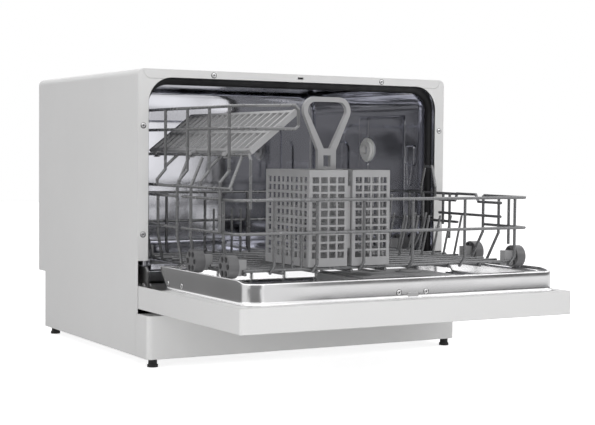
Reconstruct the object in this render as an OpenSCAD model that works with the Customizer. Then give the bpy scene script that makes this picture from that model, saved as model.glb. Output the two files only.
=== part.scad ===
// Countertop dishwasher: cabinet, stainless tub, drop-down door, wheeled wire basket and water system.
// Y = 0 is the closed door's outer face, the door opens towards -Y, and Z = 0 is the worktop.

/* [Cabinet] */
// Width of the cabinet
cabinet_w = 550; // [540:1:580]
// Height of the cabinet's top above the worktop
cabinet_h = 438; // [436:1:450]
// Depth from the kick panel's front to the rear panel
cabinet_d = 476; // [474:1:500]
// Thickness of the cabinet's sheet metal
sheet = 1; // [0.8:0.1:1.2]
// Radius of the cabinet's top edges
cabinet_r = 10; // [6:1:12]
// Width of the front flange down each side
side_flange_w = 17; // [16:0.5:19]
// Height of the front flange under the top
top_flange_h = 12; // [10:0.5:14]
// Radius of the opening's top corners
opening_r = 38; // [30:1:44]
// Height of the kick panel
kick_h = 64; // [58:1:66]
// Depth of the recess for the hoses at the rear
recess_d = 33; // [28:1:34]
// Height of that recess above the cabinet's bottom
recess_h = 95; // [85:1:98]
// Height of the feet
foot_h = 12; // [10:1:14]
// Diameter of the feet
foot_d = 16; // [14:1:22]

/* [Door] */
// Thickness of the door without its liner
door_t = 34; // [33:0.5:36]
// Gap between the closed door and the front flange
door_gap = 5.5; // [5:0.5:7]
// Thickness of the door's outer skin
door_skin = 1.2; // [1:0.1:1.5]
// Height of the liner's rim above the door
liner_h = 29; // [28:0.5:30]
// Width of the rim on which the basket's wheels roll
rim_w = 17.5; // [17:0.5:19]
// Radius of the liner's front corners
liner_r = 22; // [16:1:28]
// Diameter of the hinge pins
hinge_pin_d = 6; // [5:0.5:7]
// How far the hinge pins lie below the door's inner face
hinge_sink = 1.5; // [1:0.5:3]
// Width of the handle recess in the control panel
grip_w = 120; // [100:2:130]
// Depth of the handle recess
grip_depth = 27; // [20:1:28]
// Diameter of the push buttons
button_d = 14; // [10:1:16]
// Travel of the push buttons
button_travel = 1.5; // [1:0.1:1.8]

/* [Tub] */
// Thickness of the tub's sheet metal
tub_wall = 1; // [0.8:0.1:1.2]
// Depth of the tub's mouth that the rubber seal lines
seal_d = 27; // [24:1:28]
// Thickness of the rubber seal
seal_t = 5; // [4:0.5:6]
// Depth of the tub's floor below the wheel tracks
floor_drop = 26; // [25:0.5:27]
// Reach of each wing of the spray arm
arm_reach = 160; // [120:2:165]
// Thickness of the spray arm
arm_t = 9; // [8:0.5:9.5]
// Radius of the spray arm's bearing spigot
spigot_r = 10; // [8:0.5:12]
// Radius of the filter cylinder
filter_r = 26; // [20:1:28]

/* [Dish basket] */
// Diameter of the basket's coated wire
wire_d = 4.4; // [4:0.1:4.6]
// Gap between the basket's rim wires and the tub's sides
basket_gap = 13; // [12:0.5:16]
// Length of the basket between its rim wires' centres
basket_l = 360; // [352:1:362]
// How far the basket's front stands out of the closed door's face
basket_out = 220; // [210:1:230]
// Height of the top rim above the wheel tracks
rim_h = 106; // [100:1:108]
// Height of the middle rim above the wheel tracks
mid_h = 61; // [56:1:64]
// Radius of the rims' corners
rim_r = 9; // [8:0.5:12]
// Height of the plate tines
tine_h = 62; // [50:1:66]
// Diameter of the wheels
wheel_d = 33; // [30:0.5:34]
// Distance between the two wheels nearest the front
wheel_pitch = 103; // [96:1:104]
// Diameter of the wheels' axle stubs
axle_d = 8; // [7:0.5:9]

/* [Cup shelf] */
// Height of the cup guard's top wire above the wheel tracks
guard_h = 232; // [224:1:234]
// Height of the cup shelf's pivot above the wheel tracks
shelf_h = 166; // [160:1:170]
// Width of the cup shelf, from its pivot to its free edge
shelf_w = 98; // [80:1:99]
// Tilt of the cup shelf
shelf_tilt = 38; // [30:1:45]
// Length of the cup shelf
shelf_l = 335; // [290:5:335]

/* [Cutlery basket] */
// Width of one cutlery bin
bin_w = 62; // [56:1:64]
// Length of one cutlery bin
bin_l = 125; // [110:1:130]
// Height of the cutlery bins
bin_h = 134; // [120:1:138]
// Wall of the cutlery bins
bin_wall = 2; // [1.6:0.2:2.4]
// Gap between the two bins
bin_gap = 8; // [7:0.5:10]
// Radius of the handle's loop
loop_r = 39; // [34:1:40]

/* [Hidden] */
$fn = 48;

// Clearances
fit = 0.05;        // running fit of a shaft in its bore, on the radius
loose = 0.3;       // play round a piece that is set into another
seam = 0.2;        // seam between two sheets that meet edge to edge
weld = 0.3;        // how deep two welded wires run into each other
rest_gap = 0.2;    // air under what rolls or rests on something that moves apart from it

// Cabinet
half_w = cabinet_w / 2;
inner_x = half_w - sheet;
flange_y = door_t + door_gap;
opening_x = half_w - side_flange_w;
opening_top = cabinet_h - top_flange_h;
kick_top = foot_h + kick_h;
rear_y = cabinet_d;
recess_y = cabinet_d - recess_d;
recess_top = foot_h + recess_h;
tray_t = 3;
tray_top = foot_h + tray_t;

// Door, as it lies open
door_lift = 7;
door_z = kick_top + door_lift;
door_top = door_z + door_t;
hinge_y = door_t - hinge_sink;
hinge_z = door_z + hinge_y;
door_side_gap = 1.5;
door_x = half_w - door_side_gap;
door_front = hinge_y - (cabinet_h - hinge_z);
door_tail = hinge_y + hinge_z - kick_top - 2;
door_r = 6;
origin_y = (door_front + cabinet_d) / 2;

// Liner
liner_x = opening_x - 2;
liner_front = hinge_y - (opening_top - 1.5 - hinge_z);
track_z = door_top + liner_h;
liner_end = -(hinge_z - door_z) + 10;
pocket_x = liner_x - rim_w;
pocket_front = liner_front + rim_w;
pocket_end = liner_end + 0.5;
pocket_floor = door_top + 5;
lip_h = 3.5;
lip_w = 3;

// Tub
tub_x = opening_x - 1;
tub_top = opening_top - 1;
tub_r = opening_r - 1;
tub_front = flange_y + sheet;
mouth_y = tub_front + seal_d;
mouth_x = tub_x + seal_t;
slot_top = track_z + 8;
sill_z = track_z - 8;
ledge_y = mouth_y + 5;
tub_back_y = recess_y - 3;
tub_floor_z = track_z - floor_drop;
pan_x = pocket_x + tub_wall;
tub_mid_y = (ledge_y + tub_back_y) / 2;

// Basket
rim_x = tub_x - basket_gap;
basket_front = -basket_out;
basket_rear = basket_front + basket_l;
rim_z = track_z + rim_h;
mid_z = track_z + mid_h;
long_z = track_z + 6;
cross_z = long_z + wire_d - weld;
deck_z = cross_z + wire_d / 2;
floor_x = rim_x - 20;
wheel_z = track_z + rest_gap + wheel_d / 2;
wheel_in = pocket_x - 3.5;
wheel_out = wheel_in + 15;
basket_mid = basket_front + basket_l / 2;
wheel_steps = [-1.5, -0.5, 1.5];
front_wires = [for (s = [-0.826, -0.527, -0.188, 0.179, 0.589, 1]) s * floor_x];
long_wires = [for (i = [-4 : 4]) i * floor_x / 4];
cross_first = basket_front + 17;
cross_pitch = (basket_l - 34) / 10;
cross_wires = [for (i = [0 : 10]) cross_first + i * cross_pitch];
upright_x = rim_x - wire_d + weld;

// Every piece is drawn in the closed door's frame and moved to the middle of the footprint
module placed() { translate([0, -origin_y, 0]) children(); }

module box(low, high) { translate(low) cube(high - low); }

// The same piece on the left and on the right
module both_sides() { children(); mirror([1, 0, 0]) children(); }

// Flat shape in X and Z, given its thickness along Y from y0 to y1
module upright(y0, y1) { translate([0, y1, 0]) rotate([90, 0, 0]) linear_extrude(y1 - y0) children(); }

// Flat shape in Y and Z, given its thickness along X from x0 to x1
module sideways(x0, x1) { translate([x0, 0, 0]) rotate([90, 0, 90]) linear_extrude(x1 - x0) children(); }

module disc_x(x0, x1, y, z, r) { translate([x0, y, z]) rotate([0, 90, 0]) cylinder(r = r, h = x1 - x0); }
module disc_y(x, y0, y1, z, r) { translate([x, y1, z]) rotate([90, 0, 0]) cylinder(r = r, h = y1 - y0); }
module disc_z(x, y, z0, z1, r) { translate([x, y, z0]) cylinder(r = r, h = z1 - z0); }

// Rectangle with rounded corners, from low to high
module round_rect(low, high, r)
{
    w = high.x - low.x;
    h = high.y - low.y;
    translate([low.x + r, low.y]) square([w - 2 * r, h]);
    translate([low.x, low.y + r]) square([w, h - 2 * r]);
    for (x = [low.x + r, high.x - r], y = [low.y + r, high.y - r]) translate([x, y]) circle(r);
}

// Arch: straight sides from z0 up, and a top with round corners
module arch(x, z0, top, r)
{
    translate([-x, z0]) square([2 * x, top - r - z0]);
    translate([-x + r, z0]) square([2 * (x - r), top - z0]);
    for (s = [-1, 1]) translate([s * (x - r), top - r]) circle(r);
}

module wire(a, b, d = wire_d)
{
    v = b - a;
    translate(a) rotate([0, acos(v.z / norm(v)), atan2(v.y, v.x)]) cylinder(d = d, h = norm(v), $fn = 24);
}

// Wire through a list of points, with a ball a little over its own size at each bend
module wire_run(points, d = wire_d)
{
    for (i = [0 : len(points) - 2]) wire(points[i], points[i + 1], d);
    for (i = [1 : len(points) - 2]) translate(points[i]) sphere(d = d * 1.08, $fn = 24);
}

// ---------------------------------------------------------------- cabinet

module front_outline() { arch(half_w, slot_top, cabinet_h, cabinet_r); }
module opening_outline(grow = 0)
{
    arch(opening_x + grow, -1, opening_top + grow, opening_r + grow);
}
seam_x = half_w - cabinet_r + 1;
seam_z = opening_top - 2;
module top_flange_outline(grow = 0)
{
    r = 12;
    translate([-seam_x - grow, seam_z + r]) square([2 * (seam_x + grow), cabinet_h - seam_z - r + grow]);
    translate([-seam_x + r, seam_z - grow]) square([2 * (seam_x - r), cabinet_h - seam_z + grow]);
    for (s = [-1, 1]) translate([s * (seam_x - r), seam_z + r]) circle(r + grow);
}

screw_r = 1.5;
top_screw_x = cabinet_w * 0.275;
top_screw_z = cabinet_h - top_flange_h / 2;
side_screw_x = half_w - side_flange_w / 2;
side_screw_z = [track_z + 47, track_z + 208];
flange_screw_spots = concat(
    [for (s = [-1, 1]) [s * top_screw_x, top_screw_z]],
    [for (s = [-1, 1], z = side_screw_z) [s * side_screw_x, z]]
);
module flange_screw_holes(y0, y1)
{
    for (p = flange_screw_spots) disc_y(p.x, y0, y1, p.y, screw_r + 0.1);
}

catch_w = 10;
catch_z = top_screw_z;

module top_cover()
{
    color("gainsboro") placed() difference()
    {
        union()
        {
            box([-seam_x + seam, flange_y, cabinet_h - sheet], [seam_x - seam, rear_y, cabinet_h]);
            upright(flange_y, flange_y + sheet) difference()
            {
                intersection()
                {
                    top_flange_outline();
                    front_outline();
                }
                opening_outline();
            }
        }
        flange_screw_holes(flange_y - 1, flange_y + 2 * sheet);
        box([-catch_w / 2, flange_y - 1, catch_z - 1.5], [catch_w / 2, flange_y + 2 * sheet, catch_z + 1.5]);
    }
}

// Side sheet with its round top edge and its front flange, drawn on the left
module side_panel()
{
    difference()
    {
        union()
        {
            upright(flange_y, rear_y) difference()
            {
                arch(half_w, foot_h, cabinet_h, cabinet_r);
                arch(inner_x, foot_h - 1, cabinet_h - sheet, cabinet_r - sheet);
                translate([-seam_x, foot_h - 1]) square([cabinet_w + cabinet_r, cabinet_h]);
            }
            upright(flange_y, flange_y + sheet) difference()
            {
                front_outline();
                opening_outline();
                top_flange_outline(seam);
                translate([0, 0]) square([half_w + 1, cabinet_h + 1]);
            }
        }
        // Room for the kick panel's side and for the hose recess
        box([-half_w - 1, flange_y - 1, 0], [-inner_x + 1, kick_side + seam, kick_top + seam]);
        box([-half_w - 1, recess_y, 0], [-inner_x + 1, rear_y + 1, recess_top]);
        flange_screw_holes(flange_y - 1, flange_y + 2 * sheet);
    }
}
module left_side_panel() { color("silver") placed() side_panel(); }
module right_side_panel() { color("silver") placed() mirror([1, 0, 0]) side_panel(); }

kick_side = flange_y + 5;
kick_r = 8;
module kick_panel()
{
    color("silver") placed() difference()
    {
        translate([0, 0, foot_h]) linear_extrude(kick_h) intersection()
        {
            round_rect([-half_w, 0], [half_w, 2 * kick_side], kick_r);
            translate([-half_w, 0]) square([cabinet_w, kick_side]);
        }
        translate([0, 0, foot_h - 1]) linear_extrude(kick_h + 1 - sheet)
            round_rect([-inner_x, sheet], [inner_x, 2 * kick_side], kick_r - sheet);
        box([-inner_x, flange_y - 4, kick_top - 2 * sheet], [inner_x, kick_side + 1, kick_top + 1]);
    }
}

outlet_x = -185;
outlet_z = tray_top + 42;
valve_x = 185;
valve_z = tray_top + 45;
gland_x = 110;
gland_z = tray_top + 45;
module rear_panel()
{
    color("silver") placed() difference()
    {
        intersection()
        {
            sideways(-inner_x, inner_x) polygon([
                [rear_y, cabinet_h - sheet], [rear_y, recess_top], [recess_y, recess_top], [recess_y, tray_top],
                [recess_y - sheet, tray_top], [recess_y - sheet, recess_top + sheet],
                [rear_y - sheet, recess_top + sheet], [rear_y - sheet, cabinet_h - sheet]
            ]);
            upright(recess_y - 5, rear_y + 1) arch(inner_x, foot_h, cabinet_h - sheet, cabinet_r - sheet);
        }
        disc_y(outlet_x, recess_y - 3, recess_y + 1, outlet_z, 10.2);
        disc_y(valve_x, recess_y - 3, recess_y + 1, valve_z, 15.3);
        disc_y(gland_x, recess_y - 3, recess_y + 1, gland_z, 8.2);
    }
}

module base_tray()
{
    color("dimgray") placed() union()
    {
        box([-inner_x + seam, kick_r, foot_h], [inner_x - seam, recess_y, tray_top]);
        box([-inner_x + kick_r, sheet + seam, foot_h], [inner_x - kick_r, kick_r + 1, tray_top]);
    }
}

module feet()
{
    x = half_w - foot_d / 2 - 5;
    color("black") placed() for (s = [-1, 1], y = [foot_d / 2 + 4, recess_y - foot_d])
    {
        disc_z(s * x, y, 0, 4, foot_d / 2);
        disc_z(s * x, y, 3, foot_h, foot_d / 2 - 1.5);
    }
}

module flange_screws()
{
    color("lightgray") placed() for (p = flange_screw_spots) difference()
    {
        union()
        {
            disc_y(p.x, flange_y - 1, flange_y, p.y, 3);
            disc_y(p.x, flange_y - 0.5, tub_front + tub_wall + 4, p.y, screw_r);
        }
        for (a = [0, 90]) translate([p.x, flange_y - 1, p.y]) rotate([0, a, 0]) cube([3, 1, 0.6], center = true);
    }
}

module latch_catch()
{
    color("dimgray") placed() difference()
    {
        box([-14, tub_front, opening_top + seal_t + 1.2], [14, tub_front + 10, cabinet_h - sheet]);
        box([-catch_w / 2, tub_front - 1, opening_top], [catch_w / 2, tub_front + 6, catch_z + 1.5]);
    }
}

// Plate with the hinge ear, the pin riveted into it, and flanges under the tub and on the tray
ear_x = half_w - 10;
ear_t = 3;
pin_r = hinge_pin_d / 2;
nose_r = pin_r + 3;
rail_front = door_tail + 5;
rail_rear = tub_back_y - 10;
rail_top = track_z - tub_wall;
module side_rail()
{
    sideways(ear_x - ear_t, ear_x) union()
    {
        polygon([
            [rail_front, tray_top], [rail_rear, tray_top], [rail_rear, rail_top], [hinge_y, rail_top],
            [hinge_y - nose_r, rail_top - nose_r], [hinge_y - nose_r, hinge_z], [hinge_y + nose_r, hinge_z],
            [hinge_y + nose_r, door_top + 3], [rail_front, door_top + 3]
        ]);
        translate([hinge_y, hinge_z]) circle(nose_r);
    }
    box([ear_x - 18, rail_front, tray_top], [ear_x - ear_t + 0.5, rail_rear, tray_top + 2]);
    box([pan_x + 1, rail_front + 3, rail_top - 2], [ear_x - ear_t + 0.5, rail_rear, rail_top]);
    disc_x(ear_x - ear_t - 5, ear_x + 4, hinge_y, hinge_z, pin_r);
}
module side_rails() { color("gray") placed() both_sides() side_rail(); }

// ---------------------------------------------------------------- tub

breather_y = tub_mid_y - 15;
breather_z = track_z + 176;
breather_r = 11;

module tub_outline(grow) { arch(tub_x + grow, track_z, tub_top + grow, tub_r + grow); }
module mouth_outline(grow) { arch(mouth_x + grow, slot_top, tub_top + seal_t + grow, tub_r + seal_t + grow); }

module tub_wrap()
{
    color("lightsteelblue") placed() difference()
    {
        union()
        {
            upright(mouth_y, tub_back_y) tub_outline(tub_wall);
            upright(tub_front, mouth_y + tub_wall) mouth_outline(tub_wall);
            // Flange behind the cabinet's front, held by the same screws
            upright(tub_front, tub_front + tub_wall) difference()
            {
                arch(inner_x - 2, slot_top, cabinet_h - sheet - 1, cabinet_r);
                translate([-15, opening_top + seal_t]) square([30, 30]);
            }
        }
        upright(tub_front - 1, tub_back_y + 1) difference()
        {
            arch(tub_x, -1, tub_top, tub_r);
        }
        upright(tub_front - 1, mouth_y) arch(mouth_x, -1, tub_top + seal_t, tub_r + seal_t);
        flange_screw_holes(tub_front - 1, tub_front + tub_wall + 5);
        disc_x(tub_x - 1, tub_x + 3, breather_y, breather_z, breather_r + 0.3);
    }
}

sump_x = -120;
sump_y = ledge_y + 95;
sump_r = 50;
hub_r = 12;
module tub_floor()
{
    t = tub_wall;
    color("lightsteelblue") placed() difference()
    {
        union()
        {
            box([-pan_x, ledge_y, tub_floor_z - t], [pan_x, tub_back_y + t, tub_floor_z]);
            both_sides() box([pan_x - t, ledge_y, tub_floor_z - t], [pan_x, tub_back_y + t, track_z]);
            both_sides() box([pan_x - t, ledge_y, track_z - t], [tub_x + t, tub_back_y + t, track_z]);
            both_sides() box([pan_x - t, ledge_y, tub_floor_z - t], [mouth_x, ledge_y + t, track_z]);
            box([-pan_x, tub_back_y, tub_floor_z - t], [pan_x, tub_back_y + t, track_z]);
            // Sill under the door's hinge end
            sideways(-mouth_x, mouth_x) polygon([
                [tub_front, tub_floor_z - t], [tub_front, sill_z], [tub_front + 8, sill_z],
                [mouth_y - 6, sill_z - 12], [ledge_y + t, tub_floor_z], [ledge_y + t, tub_floor_z - t],
                [ledge_y - 1.2 * t, tub_floor_z - t], [mouth_y - 6 - 1.2 * t, sill_z - 12 - t],
                [tub_front + 8 - t / 2, sill_z - t], [tub_front + t, sill_z - t], [tub_front + t, tub_floor_z - t]
            ]);
        }
        disc_z(sump_x, sump_y, tub_floor_z - 3, tub_floor_z + 1, sump_r);
        disc_z(0, tub_mid_y, tub_floor_z - 3, tub_floor_z + 1, hub_r + loose);
        for (x = heater_legs) disc_z(x, heater_rear, tub_floor_z - 3, tub_floor_z + 1, heater_r + loose);
    }
}

module tub_back()
{
    color("lightsteelblue") placed() upright(tub_back_y, tub_back_y + tub_wall)
        arch(tub_x + tub_wall, track_z, tub_top + tub_wall, tub_r + tub_wall);
}

module tub_seal()
{
    y0 = tub_front + tub_wall + 0.1;
    y1 = mouth_y - 0.1;
    color("black") placed() union()
    {
        upright(y0, y1) difference()
        {
            arch(mouth_x, slot_top, tub_top + seal_t, tub_r + seal_t);
            arch(tub_x, 0, tub_top, tub_r);
        }
        upright(y0 + 8, y0 + 14) difference()
        {
            arch(mouth_x, slot_top, tub_top + seal_t, tub_r + seal_t);
            arch(tub_x - 0.6, 0, tub_top - 0.6, tub_r - 0.6);
        }
        box([-mouth_x, y0, sill_z], [mouth_x, y0 + 6, sill_z + 2]);
    }
}

hub_top = tub_floor_z + 9;
arm_z = hub_top + 1;
arm_hub_r = spigot_r + 8;
module spray_hub()
{
    color("dimgray") placed() difference()
    {
        union()
        {
            disc_z(0, tub_mid_y, tub_floor_z, tub_floor_z + 3, hub_r + 16);
            disc_z(0, tub_mid_y, tub_floor_z, hub_top, spigot_r + 4);
            disc_z(0, tub_mid_y, tub_floor_z - 19, tub_floor_z + 1, hub_r);
            disc_z(0, tub_mid_y, hub_top - 1, arm_z + arm_t - 2, spigot_r);
        }
        disc_z(0, tub_mid_y, tub_floor_z - 20, arm_z + arm_t, spigot_r - 3);
    }
}

// Two tapered wings on a hub that turns on the spigot
module spray_arm()
{
    root = 17;
    tip = 10;
    straight = arm_reach - tip;
    color("dimgray") placed() translate([0, tub_mid_y, 0]) difference()
    {
        union()
        {
            translate([0, 0, arm_z]) linear_extrude(arm_t)
            {
                circle(arm_hub_r);
                polygon([
                    [-straight, -tip], [0, -root], [straight, -tip], [straight, tip], [0, root], [-straight, tip]
                ]);
                for (s = [-1, 1]) translate([s * straight, 0]) circle(tip);
            }
            for (s = [-1, 1], r = [0.3 : 0.17 : 0.95])
                disc_z(s * r * straight, 0, arm_z + arm_t - 0.5, arm_z + arm_t + 1.2, 2.5);
        }
        disc_z(0, 0, arm_z - 1, arm_z + arm_t - 1.5, spigot_r + fit);
        for (s = [-1, 1], r = [0.3 : 0.17 : 0.95])
            disc_z(s * r * straight, 0, arm_z + arm_t - 2, arm_z + arm_t + 2, 1);
    }
}

module sump()
{
    top = tub_floor_z - tub_wall;
    color("dimgray") placed() difference()
    {
        union()
        {
            disc_z(sump_x, sump_y, top - 72, top, sump_r + 3);
            disc_z(sump_x, sump_y, top - 4, top, sump_r + 12);
            disc_x(sump_x + sump_r - 5, sump_x + sump_r + 12, sump_y, wash_z, 14);
            disc_y(sump_x, sump_y + sump_r - 5, sump_y + sump_r + 12, drain_z, 9);
        }
        disc_z(sump_x, sump_y, top - 69, top + 1, sump_r);
        disc_x(sump_x, sump_x + sump_r + 13, sump_y, wash_z, 11);
        disc_y(sump_x, sump_y, sump_y + sump_r + 13, drain_z, 6.5);
    }
}

module filter_plate()
{
    color("silver") placed() difference()
    {
        disc_z(sump_x, sump_y, tub_floor_z, tub_floor_z + 1.5, sump_r + 6);
        disc_z(sump_x, sump_y, tub_floor_z - 1, tub_floor_z + 2, filter_r + fit);
        for (i = [0 : 11]) translate([sump_x, sump_y, tub_floor_z - 1]) rotate(i * 30)
            translate([sump_r - 12, -2.5, 0]) cube([9, 5, 4]);
    }
}

// Cup with mesh windows, a rim on the plate and a bar to turn it by
module filter_cylinder()
{
    z0 = tub_floor_z + 1.5 + 0.1;
    depth = 40;
    color("dimgray") placed() difference()
    {
        union()
        {
            disc_z(sump_x, sump_y, z0 - depth, z0 + 2, filter_r);
            disc_z(sump_x, sump_y, z0, z0 + 2.5, filter_r + 5);
            box([sump_x - filter_r + 4, sump_y - 3, z0 + 2], [sump_x + filter_r - 4, sump_y + 3, z0 + 6.5]);
        }
        difference()
        {
            disc_z(sump_x, sump_y, z0 - depth + 2, z0 + 3, filter_r - 2);
            box([sump_x - filter_r, sump_y - 3, z0 - 1], [sump_x + filter_r, sump_y + 3, z0 + 9]);
        }
        for (i = [0 : 7]) translate([sump_x, sump_y, z0 - depth + 6]) rotate(i * 45 + 22.5)
            translate([filter_r - 5, -7, 0]) cube([8, 14, depth - 12]);
    }
}

// ---------------------------------------------------------------- water system

wash_z = tray_top + 50;
volute_r = 44;
motor_r = 35;
volute_y = sump_y;
wash_outlet_z = tub_floor_z - 30;
module wash_pump()
{
    color("gray") placed() difference()
    {
        union()
        {
            disc_x(-22, 22, volute_y, wash_z, volute_r);
            disc_x(-34, -20, volute_y, wash_z, 14);
            disc_x(20, 125, volute_y, wash_z, motor_r);
            disc_x(124, 140, volute_y, wash_z, 12);
            disc_y(0, volute_y + 10, volute_y + volute_r + 12, wash_outlet_z, 11);
            box([35, volute_y - 26, tray_top], [110, volute_y + 26, wash_z - 20]);
        }
        disc_x(-35, 0, volute_y, wash_z, 11);
        disc_y(0, volute_y, volute_y + volute_r + 13, wash_outlet_z, 8);
    }
}

drain_z = tray_top + 42;
drain_y = sump_y + sump_r + 48;
drain_r = 26;
module drain_pump()
{
    color("dimgray") placed() union()
    {
        disc_y(sump_x, drain_y, drain_y + 24, drain_z, drain_r);
        disc_y(sump_x, drain_y + 23, drain_y + 80, drain_z, 21);
        disc_y(sump_x, drain_y - 12, drain_y + 1, drain_z, 9);
        disc_x(sump_x - drain_r - 10, sump_x - 10, drain_y + 12, drain_z, 9);
        box([sump_x - 16, drain_y + 6, tray_top], [sump_x + 16, drain_y + 70, drain_z - 10]);
    }
}

// Suction, feed, drain and fill hoses between the ports of the water system
hose_gap = 0.05;
module water_hoses()
{
    suction_x0 = sump_x + sump_r + 12 + hose_gap;
    feed_y0 = volute_y + volute_r + 12 + hose_gap;
    hub_base = tub_floor_z - 19 - hose_gap;
    drain_x = sump_x - drain_r - 10 - hose_gap;
    fill_x = half_w - 11;
    fill_y = tub_back_y - 4;
    color("black") placed()
    {
        disc_x(suction_x0, -34 - hose_gap, sump_y, wash_z, 14);
        union()
        {
            disc_y(0, feed_y0, tub_mid_y, wash_outlet_z, 11);
            translate([0, tub_mid_y, wash_outlet_z]) sphere(r = 11.6);
            disc_z(0, tub_mid_y, wash_outlet_z, hub_base, 11);
        }
        disc_y(sump_x, sump_y + sump_r + 12 + hose_gap, drain_y - 12 - hose_gap, drain_z, 9);
        difference()
        {
            union()
            {
                disc_x(outlet_x, drain_x, drain_y + 12, drain_z, 9);
                translate([outlet_x, drain_y + 12, drain_z]) sphere(r = 9.6);
                disc_y(outlet_x, drain_y + 12, recess_y + 22, outlet_z, 9);
            }
            disc_y(outlet_x, recess_y - 10, recess_y + 23, outlet_z, 6);
        }
        wire_run([
            [valve_x + 20 + hose_gap, fill_y, valve_z], [fill_x, fill_y, valve_z],
            [fill_x, fill_y, breather_z - 140], [fill_x, breather_y + 45 + hose_gap, breather_z - 140]
        ], 9);
    }
}

module inlet_valve()
{
    color("ivory") placed() difference()
    {
        union()
        {
            box([valve_x - 20, recess_y - 37, valve_z - 15], [valve_x + 20, recess_y - 1.5, valve_z + 15]);
            disc_y(valve_x, recess_y - 3, recess_y + 1, valve_z, 15);
            disc_y(valve_x, recess_y, recess_y + 24, valve_z, 13);
            disc_z(valve_x, recess_y - 20, valve_z + 14, valve_z + 36, 13);
            box([valve_x - 12, recess_y - 30, tray_top], [valve_x + 12, recess_y - 10, valve_z - 14]);
        }
        disc_y(valve_x, recess_y - 10, recess_y + 25, valve_z, 9);
    }
}

module cord_gland()
{
    color("black") placed() difference()
    {
        union()
        {
            disc_y(gland_x, recess_y - 8, recess_y + 1, gland_z, 8);
            disc_y(gland_x, recess_y, recess_y + 4, gland_z, 12);
            disc_y(gland_x, recess_y + 3, recess_y + 20, gland_z, 7);
            disc_y(gland_x, recess_y - 7, recess_y - sheet, gland_z, 11);
        }
        disc_y(gland_x, recess_y - 9, recess_y + 21, gland_z, 4);
    }
}

// Tubular element: two legs through the floor and a long bend over it
heater_r = 3.2;
heater_legs = [70, 190];
heater_rear = tub_back_y - 30;
module heating_element()
{
    z = tub_floor_z + heater_r + 2;
    turn = (heater_legs[1] - heater_legs[0]) / 2;
    mid = (heater_legs[0] + heater_legs[1]) / 2;
    front = ledge_y + 40 + turn;
    color("slategray") placed() union()
    {
        for (x = heater_legs)
        {
            disc_y(x, front, heater_rear, z, heater_r);
            translate([x, heater_rear, z]) sphere(r = heater_r * 1.08);
            disc_z(x, heater_rear, tub_floor_z - 15, z, heater_r);
            disc_z(x, heater_rear, tub_floor_z, tub_floor_z + 1.5, heater_r + 4);
        }
        translate([mid, front, z]) rotate(180) rotate_extrude(angle = 180)
            translate([turn, 0]) circle(heater_r);
    }
}

// Flat water path behind the tub's right wall, with the spigot that the round nut holds
module air_breather()
{
    x0 = tub_x + tub_wall;
    color("ivory") placed() difference()
    {
        union()
        {
            box([x0 + 0.2, breather_y - 45, breather_z - 155], [x0 + 12, breather_y + 45, breather_z + 45]);
            disc_x(tub_x - 8, x0 + 1, breather_y, breather_z, breather_r);
        }
        disc_x(tub_x - 9, x0 + 8, breather_y, breather_z, breather_r - 3);
    }
}

module breather_nut()
{
    color("white") placed() difference()
    {
        union()
        {
            disc_x(tub_x - 4, tub_x, breather_y, breather_z, 21.5);
            disc_x(tub_x - 8, tub_x - 3, breather_y, breather_z, 17);
        }
        disc_x(tub_x - 9, tub_x + 1, breather_y, breather_z, breather_r + fit);
        for (i = [0 : 5]) translate([0, breather_y, breather_z]) rotate([i * 60, 0, 0])
            disc_x(tub_x - 9, tub_x + 1, 14.2, 0, 1.4);
    }
}

// ---------------------------------------------------------------- door

panel_x = door_x - 33;
panel_front = door_front + 7;
panel_rear = panel_front + 60;
panel_mid = (panel_front + panel_rear) / 2;
panel_back = door_z + door_skin + 2;
module door_plan(inset, r) { round_rect([-door_x + inset, door_front + inset], [door_x - inset, door_tail - inset], r); }

// Pan with its edges folded round; the fold under the liner stops short of the hinges
module door_outer_panel()
{
    hinge_clear = liner_end - 15;
    color("gainsboro") placed() difference()
    {
        translate([0, 0, door_z]) linear_extrude(door_t) door_plan(0, door_r);
        translate([0, 0, door_z + door_skin]) linear_extrude(door_t - 2 * door_skin)
            door_plan(door_skin, door_r - door_skin);
        box([-liner_x + tub_wall, liner_front + tub_wall, door_top - 3],
            [liner_x - tub_wall, hinge_clear + 1, door_top + 1]);
        box([-door_x + door_skin, hinge_clear, door_top - 3], [door_x - door_skin, door_tail - door_skin, door_top + 1]);
        box([-panel_x, panel_front, door_z - 1], [panel_x, panel_rear, door_z + 3]);
    }
}

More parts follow.
